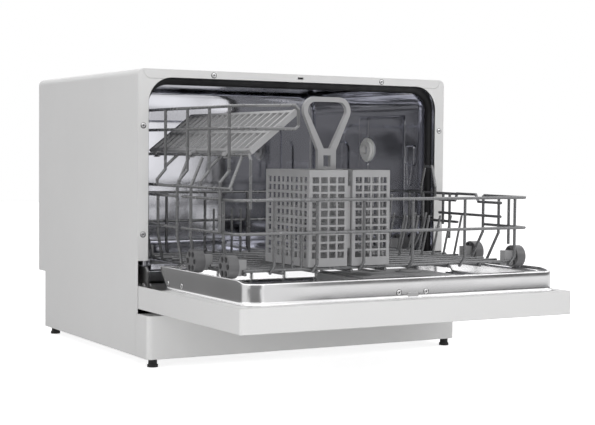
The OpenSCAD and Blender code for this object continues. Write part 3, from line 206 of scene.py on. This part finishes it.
FINISH = {
    ENAMEL: ["top_cover", "left_side_panel", "right_side_panel", "kick_panel", "rear_panel", "door_outer_panel"],
    TUB_STEEL: ["tub_wrap", "tub_floor", "tub_back"],
    LINER_STEEL: ["door_liner", "filter_plate"],
    FRAME_STEEL: ["base_tray", "side_rails", "latch_catch", "hinge_brackets", "latch_plate", "wash_pump",
                  "heating_element"],
    BRIGHT_STEEL: ["flange_screws", "liner_screws"],
    COATED_WIRE: ["basket_floor", "basket_front", "basket_rear", "basket_left", "basket_right", "basket_tines",
                  "cup_guard"],
    GREY_PLASTIC: ["cup_shelf", "cutlery_bins", "cutlery_handle", "wheel_clips", "dispenser_body",
                   "dispenser_lid", "rinse_cap", "spray_arm", "spray_hub"],
    WHEEL_PLASTIC: [name for name in NODES if "_wheel_" in name],
    DARK_PLASTIC: ["sump", "drain_pump", "filter_cylinder", "cord_gland", "power_button", "program_button",
                   "start_button", "water_hoses"],
    WHITE_PLASTIC: ["breather_nut", "air_breather", "inlet_valve"],
    PANEL_PLASTIC: ["control_panel"],
    WINDOW_PLASTIC: ["display_window"],
    BOARD_GREEN: ["control_board"],
    SEAL_RUBBER: ["tub_seal"],
    FOOT_RUBBER: ["feet"],
}


def dress_nodes():
    """Each node gets the one finish that the list above names for it."""
    for material, names in FINISH.items():
        for name in names:
            slots = NODES[name].data.materials
            slots.clear()
            slots.append(material)


dress_nodes()

# ---------------------------------------------------------------- mesh building

# Pieces are laid out in millimetres in the frame of the closed door's face, as the cabinet's drawing is
FACE_Y = 93


def add_mesh(name, points, faces, material, body, smooth=40):
    """One object from points in millimetres, shaded smooth where faces meet below the given angle."""
    points = (np.asarray(points, float).reshape(-1, 3) - (0, FACE_Y, 0)) * MM
    mesh = bpy.data.meshes.new(name)
    mesh.from_pydata(points.tolist(), [], faces)
    mesh.validate()
    mesh.materials.append(material)
    obj = bpy.data.objects.new(name, mesh)
    bpy.context.scene.collection.objects.link(obj)
    mesh.polygons.foreach_set("use_smooth", [True] * len(mesh.polygons))
    mesh.set_sharp_from_angle(angle=math.radians(smooth))
    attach(obj, body)
    return obj


def grid_faces(rows, columns, start=0, closed=False):
    """Quads of a grid of points, row by row; closed joins the last column to the first."""
    here = np.arange(columns if closed else columns - 1)
    ahead = (here + 1) % columns
    row = start + np.arange(rows - 1)[:, None] * columns
    return np.stack([row + here, row + ahead, row + columns + ahead, row + columns + here], -1).reshape(-1, 4).tolist()


def end_face(rows, columns, start=0):
    """One face over a grid's last row."""
    return (start + (rows - 1) * columns + np.arange(columns)).tolist()


def loft(name, rings, material, body, smooth, closed=True):
    """Skin carried over the rings in turn, with a face over the last one."""
    rows, columns = len(rings), len(rings[0])
    faces = grid_faces(rows, columns, closed=closed) + [end_face(rows, columns)]
    return add_mesh(name, np.concatenate(rings), faces, material, body, smooth)


def at_depth(section, y):
    """Outline in X and Z stood up at the depth y."""
    return np.column_stack([section[:, 0], np.full(len(section), y), section[:, 1]])


def arc(x, y, r, start, end, count):
    """Points on an arc, angles in degrees."""
    t = np.radians(np.linspace(start, end, count))
    return np.stack([x + r * np.cos(t), y + r * np.sin(t)], 1)


def smooth_step(x, low, high):
    """Rises from 0 at low to 1 at high as 3t^2 - 2t^3, flat at both ends."""
    t = np.clip((np.asarray(x, float) - low) / (high - low), 0, 1)
    return t * t * (3 - 2 * t)


def round_box_ring(half, front, rear, front_r, rear_r):
    """Plan outline: four quarter circles joined by straight sides, counter-clockwise from the right rear.

    Each part has a fixed count of points, so that rings of different sizes match point by point.
    """
    quarter = 10
    side = np.linspace(rear - rear_r, front + front_r, 26)[1:-1]
    return np.concatenate([
        arc(half - rear_r, rear - rear_r, rear_r, 0, 90, quarter),
        arc(-half + rear_r, rear - rear_r, rear_r, 90, 180, quarter),
        np.stack([np.full(24, -half), side], 1),
        arc(-half + front_r, front + front_r, front_r, 180, 270, quarter),
        arc(half - front_r, front + front_r, front_r, 270, 360, quarter),
        np.stack([np.full(24, half), side[::-1]], 1),
    ])


# ---------------------------------------------------------------- pressed steel inner door

DOOR_TOP = 117          # face of the door's outer panel
LINER_HALF = 256
LINER_FRONT = -276.5
LINER_REAR = -24
REAR_SLANT = 1.04       # how far the rear wall leans back for each millimetre of height
FRONT_CORNER, REAR_CORNER = 24, 5
LINER_FLARE = 3         # how far the foot stands out past the wall
RIM_WIDTH = 17.5
TRACK = 146             # height that the wheels run on, on the rim and in the tub
LIP, LIP_R = 3.5, 1.5
POCKET_FLOOR = 122


def liner():
    """Rounded plan outline carried up, over and down: outline inset by i at height z, in turn.

    The foot's inset falls from the flare to nothing as 1 - sin while its height rises as 1 - cos. The lip is a half
    circle, raised only along the sides, behind the front corners. The rim runs level and rounds down by a quarter
    circle, the inner wall ends in a quarter circle, and the floor drops a little towards its middle.
    """

    def ring(inset, z, lip=0.0):
        rear = LINER_REAR + (z - DOOR_TOP) * REAR_SLANT - max(inset, 0) * 1.4
        outline = round_box_ring(LINER_HALF - inset, LINER_FRONT + inset, rear, FRONT_CORNER - 0.5 * inset, REAR_CORNER)
        on_side = smooth_step(outline[:, 1], LINER_FRONT + 14, LINER_FRONT + 34)
        return np.column_stack([outline, z + lip * on_side])

    fillet, gutter_r, edge_r, foot_r = 5, 1.2, 3.5, 8
    rings = [ring(-LINER_FLARE, DOOR_TOP), ring(-LINER_FLARE, DOOR_TOP + 1)]
    for t in np.radians(np.linspace(0, 90, 6)):
        rings.append(ring(-LINER_FLARE * (1 - math.sin(t)), DOOR_TOP + 1.2 + fillet * (1 - math.cos(t))))
    rings.append(ring(0.0, TRACK - 8))
    for t in np.radians(np.linspace(0, 180, 9)):
        rings.append(ring(LIP_R * (1 - math.cos(t)), TRACK - 1.5 + LIP_R * math.sin(t), LIP))
    for t in np.radians(np.linspace(0, 90, 5)):
        inset = 2 * LIP_R + 0.3 + gutter_r * (1 - math.cos(t))
        rings.append(ring(inset, TRACK - 1.6 + 0.4 * gutter_r * (1 - math.sin(t))))
    rings.append(ring(RIM_WIDTH - edge_r, TRACK))
    for t in np.radians(np.linspace(15, 90, 6)):
        rings.append(ring(RIM_WIDTH - edge_r + edge_r * math.sin(t), TRACK - edge_r * (1 - math.cos(t))))
    for t in np.radians(np.linspace(0, 90, 7)):
        rings.append(ring(RIM_WIDTH + foot_r * (1 - math.cos(t)), POCKET_FLOOR + foot_r * (1 - math.sin(t))))
    for inset, drop in ((40, 0), (46, -1.2), (60, -1.6), (100, -1.8)):
        rings.append(ring(inset, POCKET_FLOOR + drop))
    piece = loft("pressed_liner", rings, LINER_STEEL, "door", 35)
    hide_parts("door_liner")


liner()

# ---------------------------------------------------------------- tub

TUB_HALF, TUB_TOP, TUB_CORNER = 257, 425, 37
TUB_MOUTH, TUB_BACK, TUB_FILLET = 67.5, 440, 9
SEAL_FRONT = 50
NUT_Y, NUT_Z = 241, 322
SKIN = 0.1              # how far a pressed field's foot stands behind the wall it rises from
SIDE_RISE, BACK_RISE = 2.2, 1.5
FIELD_FACE = TUB_HALF + SKIN - SIDE_RISE


def tub_section(inset, top_inset=None):
    """Left wall, roof and right wall as one outline in X and Z, joined by quarter circles; inset shrinks it all."""
    top_inset = inset if top_inset is None else top_inset
    half, top, r = TUB_HALF - inset, TUB_TOP - top_inset, max(TUB_CORNER - inset, 6)
    wall = np.linspace(TRACK, top - r, 40)
    roof = np.linspace(-half + r, half - r, 50)[1:-1]
    return np.concatenate([
        np.stack([np.full(40, -half), wall], 1),
        arc(-half + r, top - r, r, 180, 90, 14)[1:],
        np.stack([roof, np.full(48, top)], 1),
        arc(half - r, top - r, r, 90, 0, 14)[:-1],
        np.stack([np.full(40, half), wall[::-1]], 1),
    ])


def tub():
    """Section carried back along Y, inset by each station's amount.

    The lip is followed by the channel behind the seal, which is wider than the tub, by the level walls, and by a
    quarter circle into the back, where the inset grows as 1 - cos and the depth as sin.
    """
    stations = [(41.5, 0), (SEAL_FRONT - 1.5, 0), (SEAL_FRONT - 0.6, -1), (SEAL_FRONT, -5)]
    stations += [(TUB_MOUTH - 1, -5), (TUB_MOUTH, -4.6), (TUB_MOUTH + 0.6, -1), (TUB_MOUTH + 2, 0)]
    stations += [(y, 0) for y in np.linspace(TUB_MOUTH + 20, TUB_BACK - TUB_FILLET, 30)]
    for t in np.radians(np.linspace(10, 90, 9)):
        stations.append((TUB_BACK - TUB_FILLET + TUB_FILLET * math.sin(t), TUB_FILLET * (1 - math.cos(t))))
    rings = [at_depth(tub_section(inset), y) for y, inset in stations]
    piece = loft("tub_shell", rings, TUB_STEEL, "cabinet", 40, closed=False)
    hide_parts("tub_wrap", "tub_back")


def raised_field(name, low, high, corner, height, place):
    """Round-cornered outline from low to high, drawn in by the inset while it rises by its share of the height.

    place turns the outline (u, v) and its rise into points on the wall.
    """
    rings = []
    for inset, share in ((0, 0), (1, 0.25), (2.5, 0.8), (4, 1.0), (5, 1.02)):
        half = (high[0] - low[0]) / 2 - inset
        outline = round_box_ring(half, low[1] + inset, high[1] - inset, corner - inset, corner - inset)
        outline[:, 0] += (low[0] + high[0]) / 2
        rings.append(place(outline, share * height))
    loft(name, rings, TUB_STEEL, "cabinet", 50)


def tub_fields():
    """Fields that stand off the side walls, with (u, v) as (Y, Z), and off the back, with (u, v) as (X, Z)."""

    def on_right(outline, rise):
        return np.column_stack([np.full(len(outline), TUB_HALF + SKIN - rise), outline])

    def on_left(outline, rise):
        return np.column_stack([np.full(len(outline), -TUB_HALF - SKIN + rise), outline])

    def on_back(outline, rise):
        return at_depth(outline, TUB_BACK + SKIN - rise)

    raised_field("right_field", (125, 165), (268, 381), 9, SIDE_RISE, on_right)
    raised_field("left_field", (125, 165), (268, 381), 9, SIDE_RISE, on_left)
    raised_field("right_rear_field", (306, 165), (352, 340), 20, SIDE_RISE, on_right)
    raised_field("back_field", (-190, 150), (190, 372), 26, BACK_RISE, on_back)


def wall_ribs():
    """Half-ellipse ribs over and under the breather nut, which shrink at both ends as the root of 1 - t^6."""
    rib_rise, rib_half, rows, columns = 2.4, 3.4, 12, 9
    across = np.radians(np.linspace(0, 180, columns))
    points, faces = [], []
    for low, high in ((NUT_Z + 20, NUT_Z + 60), (NUT_Z - 60, NUT_Z - 20)):
        z = np.linspace(low, high, rows)[:, None]
        share = np.abs(z - (low + high) / 2) / ((high - low) / 2)
        size = np.sqrt(np.maximum(0.02, 1 - share ** 6))
        x = FIELD_FACE - rib_rise * size * np.sin(across)
        y = NUT_Y + rib_half * size * np.cos(across)
        faces += grid_faces(rows, columns, len(points) * rows * columns)
        points.append(np.stack([x, y, np.broadcast_to(z, x.shape)], -1).reshape(-1, 3))
    add_mesh("wall_ribs", np.concatenate(points), faces, TUB_STEEL, "cabinet", 60)


def seal():
    """Bulb whose profile (depth, height) insets the tub's section, less on the walls, and the strip on the sill."""
    bulb = [(0.4, -4.5), (0.4, -0.5), (0.9, 3), (2.4, 6.4), (4.8, 8.6), (8, 9.2), (11, 8.3), (13.6, 5.8),
            (15.4, 2.6), (16.6, 0.4), (17.0, -0.5), (17.0, -4.5)]
    on_walls = 0.56
    rings = []
    for y, height in bulb:
        rings.append(at_depth(tub_section(height * (on_walls if height > 0 else 1), height), SEAL_FRONT + y))
    points, faces = np.concatenate(rings), grid_faces(len(rings), len(rings[0]))
    sill = [(44, 138.2), (44, 139.4), (44.8, 140), (47.8, 140), (48.6, 139.4), (48.6, 138.2)]
    along = np.linspace(-TUB_HALF, TUB_HALF, 40)
    faces += grid_faces(len(sill), len(along), len(points))
    strip = [np.column_stack([along, np.full(len(along), y), np.full(len(along), z)]) for y, z in sill]
    piece = add_mesh("mouth_seal", np.concatenate([points, *strip]), faces, SEAL_RUBBER, "cabinet", 50)
    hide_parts("tub_seal")


def pressed_loops():
    """Half-ellipse beads carried along lines on the right wall: a frame round the nut's field and a hooked loop.

    At each point the half ellipse lies square to the line, from one side of it over its top to the other.
    """
    bead_rise, bead_half, rows = 1.3, 1.5, 7
    quarters = ((116, 325, 0), (100, 325, 90), (100, 301, 180), (116, 301, 270))
    hook = np.concatenate([arc(y, z, 4, start, start + 90, 6) for y, z, start in quarters])
    stem = [(117, 296), (116, 283), (115, 272), (114, 262), (108, 262), (107, 272), (104, 283), (102, 296)]
    border = [(131, 379)] + [(y, 380.5) for y in np.linspace(134, 266, 12)] + [(269, 379)]
    border += [(270, z) for z in np.linspace(376, 292, 8)]
    points, faces = np.empty((0, 3)), []
    for line, closed in ((hook, True), (stem, False), (border, False)):
        line = np.asarray(line, float)
        ahead = np.roll(line, -1, 0) - np.roll(line, 1, 0)
        if not closed:
            ahead[0], ahead[-1] = line[1] - line[0], line[-1] - line[-2]
        across = np.stack([ahead[:, 1], -ahead[:, 0]], 1) / np.linalg.norm(ahead, axis=1)[:, None]
        turn = np.radians(np.linspace(0, 180, rows))[:, None]
        side = line + across * (bead_half * np.cos(turn))[:, :, None]
        x = np.broadcast_to(FIELD_FACE - bead_rise * np.sin(turn), side.shape[:2])
        faces += grid_faces(rows, len(line), len(points), closed)
        points = np.concatenate([points, np.concatenate([x[:, :, None], side], -1).reshape(-1, 3)])
    add_mesh("wall_beads", points, faces, TUB_STEEL, "cabinet", 60)


tub()
tub_fields()
wall_ribs()
seal()
pressed_loops()

# ---------------------------------------------------------------- screws


SCREW_HEAD = ((3.9, -0.6), (3.9, 0.2), (3.6, 0.55), (2.6, 0.85), (1.5, 0.95), (1.2, 0.8), (1.0, 0.1))
# Flat dark ring round a head: painted shade standing in for the shadow in the gap under its rim
SCREW_SHADE_RING = ((4.5, -0.2), (4.5, 0.12), (3.8, 0.12))
# Flat dark disc down in the head's socket: painted shade standing in for the shadow in the hole
SCREW_SOCKET_SHADE = ((1.15, 0.5), (1.1, 0.52))


def screws(name, spots, profile, material, body):
    """Profile (radius, height) turned about each spot's outward direction; a spot is a point and that direction."""
    count = 20
    turn = np.linspace(0, 2 * math.pi, count, endpoint=False)[:, None]
    radius, height = np.array(profile).T[:, :, None, None]
    points, faces = [], []
    for at, out in spots:
        out = Vector(out)
        u = out.orthogonal().normalized()
        circle = np.cos(turn) * np.array(u) + np.sin(turn) * np.array(out.cross(u))
        start = len(points) * len(profile) * count
        faces += grid_faces(len(profile), count, start, closed=True) + [end_face(len(profile), count, start)]
        points.append((np.array(at) + height * np.array(out) + radius * circle).reshape(-1, 3))
    return add_mesh(name, np.concatenate(points), faces, material, body, 40)


def all_screws():
    """Heads on the mouth's flange and on the inner door, each with painted shade: a dark ring round the head for the
    shadowed gap and a dark disc in its socket for the shadowed hole.
    """
    ahead = (0, -1, 0)
    flange = [((x, 39.5, 431.5), ahead) for x in (-151.2, 151.2)]
    flange += [((s * 266.25, 39.5, z), ahead) for s in (-1, 1) for z in (193, 354)]
    inner = [((x, LINER_FRONT, 126), ahead) for x in (-23, 22)]
    inner += [((s * LINER_HALF, y, 126), (s, 0, 0)) for s in (-1, 1) for y in (-28, -74)]
    for name, spots, body, replaced in (("flange", flange, "cabinet", "flange_screws"),
                                        ("liner", inner, "door", "liner_screws")):
        heads = screws(name + "_screw_heads", spots, SCREW_HEAD, BRIGHT_STEEL, body)
        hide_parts(replaced)
        # Painted shade in near black steel: rings round the heads and discs down in their sockets
        screws(name + "_screw_shade_rings", spots, SCREW_SHADE_RING, PAINTED_SHADE_STEEL, body)
        screws(name + "_screw_socket_shades", spots, SCREW_SOCKET_SHADE, PAINTED_SHADE_STEEL, body)


def strike_plate():
    """Outline with slanted sides carried forwards, drawn in a little at the front, in the inner door's notch."""
    outline = np.array([(-9.6, 117.2), (9.6, 117.2), (9.4, 119), (8.2, 125.2), (7.4, 126), (-7.4, 126), (-8.2, 125.2),
                        (-9.4, 119)])
    half, middle = 9, 120
    rings = []
    for y, grow in ((LINER_FRONT + 0.5, 0), (LINER_FRONT - 0.5, 0), (LINER_FRONT - 0.8, -0.3)):
        x, z = outline[:, 0] * (1 + grow / half), outline[:, 1] + np.where(outline[:, 1] > middle, grow, 0)
        rings.append(np.column_stack([x, np.full(len(x), y), z]))
    loft("strike_plate", rings, PLATE_STEEL, "door", 30)


all_screws()
strike_plate()

# ---------------------------------------------------------------- studio

ROOM_LIGHT = 0.55
# Brightness that metal mirrors at each bearing in degrees: 0 is straight ahead of the front, 90 the right side
ROOM_MIRRORED = [(-180, 0.35), (-150, 0.2), (-132, 0.22), (-120, 0.8), (-72, 0.8), (-60, 0.2), (4, 0.2),
                 (12, 1.1), (24.6, 1.1), (26.4, 0.15), (80, 0.15), (115, 0.6), (165, 0.8), (180, 0.35)]
FLOOR_MIRRORED = [(-180, 0.3), (-150, 0.18), (-132, 0.2), (-120, 0.8), (-90, 0.85), (-78, 0.25), (-8, 0.25),
                  (4, 1.0), (26, 0.85), (36, 1.0), (60, 0.95), (110, 0.9), (165, 0.8), (180, 0.3)]
CEILING_MIRRORED = 0.9
# Heights of a mirrored direction, as the sine of its slope, at which the floor and the ceiling set in
FLOOR_STARTS, FLOOR_FULL = -0.038, -0.05
CEILING_STARTS, CEILING_FULL = 0.15, 0.3
ROOM_COLOUR = (0.96, 0.955, 0.965, 1)
FLOOR_GLOW = 0.75       # added for the camera alone, so that the floor is white but keeps its shadow
FLOOR_HALF = 6.0


def studio():
    """White for the camera, an even light, and a room of light and dark sides that only reflections see.

    A reflection's brightness is read from the floor's or the room's ramp by its bearing, blended by its height, and
    the ceiling's is added as it turns upwards.
    """
    world = bpy.data.worlds.new("studio")
    bpy.context.scene.world = world
    world.use_nodes = True
    tree = world.node_tree
    tree.nodes.clear()

    def math_node(operation, a, b):
        made = add_node(tree, "Math", operation=operation)
        for socket, value in zip(made.inputs, (a, b)):
            if isinstance(value, float):
                socket.default_value = value
            else:
                tree.links.new(value, socket)
        return made.outputs[0]

    def share(source, low, high):
        made = add_node(tree, "MapRange", **{"From Min": low, "From Max": high})
        tree.links.new(source, made.inputs["Value"])
        return made.outputs["Result"]

    def ring(table, source):
        made = add_node(tree, "ValToRGB")
        stops = made.color_ramp.elements
        while len(stops) < len(table):
            stops.new(1.0)
        for stop, (degrees, level) in zip(stops, table):
            stop.position = degrees / 360 + 0.5
            stop.color = (level, level, level, 1)
        tree.links.new(source, made.inputs["Fac"])
        return made.outputs["Color"]

    path = add_node(tree, "LightPath")
    direction = add_node(tree, "TexCoord")
    split = add_node(tree, "SeparateXYZ")
    tree.links.new(direction.outputs["Generated"], split.inputs[0])
    ahead = math_node("MULTIPLY", split.outputs["Y"], -1.0)
    turn = share(math_node("ARCTAN2", split.outputs["X"], ahead), -math.pi, math.pi)
    down = share(split.outputs["Z"], FLOOR_STARTS, FLOOR_FULL)
    up = share(split.outputs["Z"], CEILING_STARTS, CEILING_FULL)
    low_part = math_node("MULTIPLY", ring(FLOOR_MIRRORED, turn), down)
    level_part = math_node("MULTIPLY", ring(ROOM_MIRRORED, turn), math_node("SUBTRACT", 1.0, down))
    high_part = math_node("MULTIPLY", up, CEILING_MIRRORED)
    around = math_node("ADD", math_node("ADD", low_part, level_part), high_part)
    mirrored = math_node("MULTIPLY", path.outputs["Is Glossy Ray"], around)
    even = math_node("MULTIPLY", math_node("SUBTRACT", 1.0, path.outputs["Is Glossy Ray"]), ROOM_LIGHT)
    seen = math_node("MAXIMUM", path.outputs["Is Camera Ray"], path.outputs["Is Transmission Ray"])
    room = add_node(tree, "Background", Color=ROOM_COLOUR)
    white = add_node(tree, "Background", Color=(1, 1, 1, 1))
    mix = add_node(tree, "MixShader")
    out = add_node(tree, "OutputWorld")
    tree.links.new(math_node("ADD", even, mirrored), room.inputs["Strength"])
    tree.links.new(seen, mix.inputs["Fac"])
    tree.links.new(room.outputs[0], mix.inputs[1])
    tree.links.new(white.outputs[0], mix.inputs[2])
    tree.links.new(mix.outputs[0], out.inputs["Surface"])


def floor():
    """Pale square that takes the shadow, glows for the camera, and lets reflections through to the room."""
    mesh = bpy.data.meshes.new("floor")
    r = FLOOR_HALF
    mesh.from_pydata([(-r, -r, 0), (r, -r, 0), (r, r, 0), (-r, r, 0)], [], [(0, 1, 2, 3)])
    obj = bpy.data.objects.new("floor", mesh)
    bpy.context.scene.collection.objects.link(obj)
    made = bpy.data.materials.new("floor_white")
    made.use_nodes = True
    tree = made.node_tree
    bsdf = tree.nodes["Principled BSDF"]
    bsdf.inputs["Base Color"].default_value = (0.85, 0.85, 0.85, 1)
    bsdf.inputs["Roughness"].default_value = 0.8
    bsdf.inputs["Specular IOR Level"].default_value = 0.1
    path = add_node(tree, "LightPath")
    seen = add_node(tree, "Math", operation="MULTIPLY")
    seen.inputs[1].default_value = FLOOR_GLOW
    glow = add_node(tree, "Emission")
    add = add_node(tree, "AddShader")
    clear = add_node(tree, "BsdfTransparent")
    mix = add_node(tree, "MixShader")
    out = tree.nodes["Material Output"]
    tree.links.new(path.outputs["Is Camera Ray"], seen.inputs[0])
    tree.links.new(seen.outputs[0], glow.inputs["Strength"])
    tree.links.new(bsdf.outputs[0], add.inputs[0])
    tree.links.new(glow.outputs[0], add.inputs[1])
    tree.links.new(path.outputs["Is Glossy Ray"], mix.inputs["Fac"])
    tree.links.new(add.outputs[0], mix.inputs[1])
    tree.links.new(clear.outputs[0], mix.inputs[2])
    tree.links.new(mix.outputs[0], out.inputs["Surface"])
    mesh.materials.append(made)


def lamp(name, at, aim, size, power, mirrored=False):
    """Rectangular lamp turned to face its aim; only a mirrored one shows in reflections."""
    data = bpy.data.lights.new(name, "AREA")
    data.shape = "RECTANGLE"
    data.size, data.size_y = size
    data.energy = power
    obj = bpy.data.objects.new(name, data)
    obj.location = at
    obj.rotation_euler = (Vector(aim) - Vector(at)).to_track_quat("-Z", "Y").to_euler()
    obj.visible_glossy = mirrored
    bpy.context.scene.collection.objects.link(obj)


studio()
floor()
lamp("key", (1.4, -1.5, 1.4), (0, -0.1, 0.22), (0.9, 0.9), 2, mirrored=True)
lamp("left", (-2.75, -1.35, 0.6), (0.2, 0.2, 0.28), (0.7, 0.9), 17.5)
lamp("low", (-0.2, -2.4, 0.09), (0, 0, 0.03), (2.4, 0.14), 11)
lamp("inner", (-0.8, -2.2, 0.5), (0.05, 0.25, 0.3), (0.25, 0.25), 2.8)
lamp("side", (2.6, -1.2, 1.4), (0, 0, 0.2), (1.2, 1.8), 6, mirrored=True)
lamp("top", (0, 0, 2.8), (0, 0, 0), (2.4, 2.4), 20, mirrored=True)

bpy.context.scene.view_settings.view_transform = "Standard"
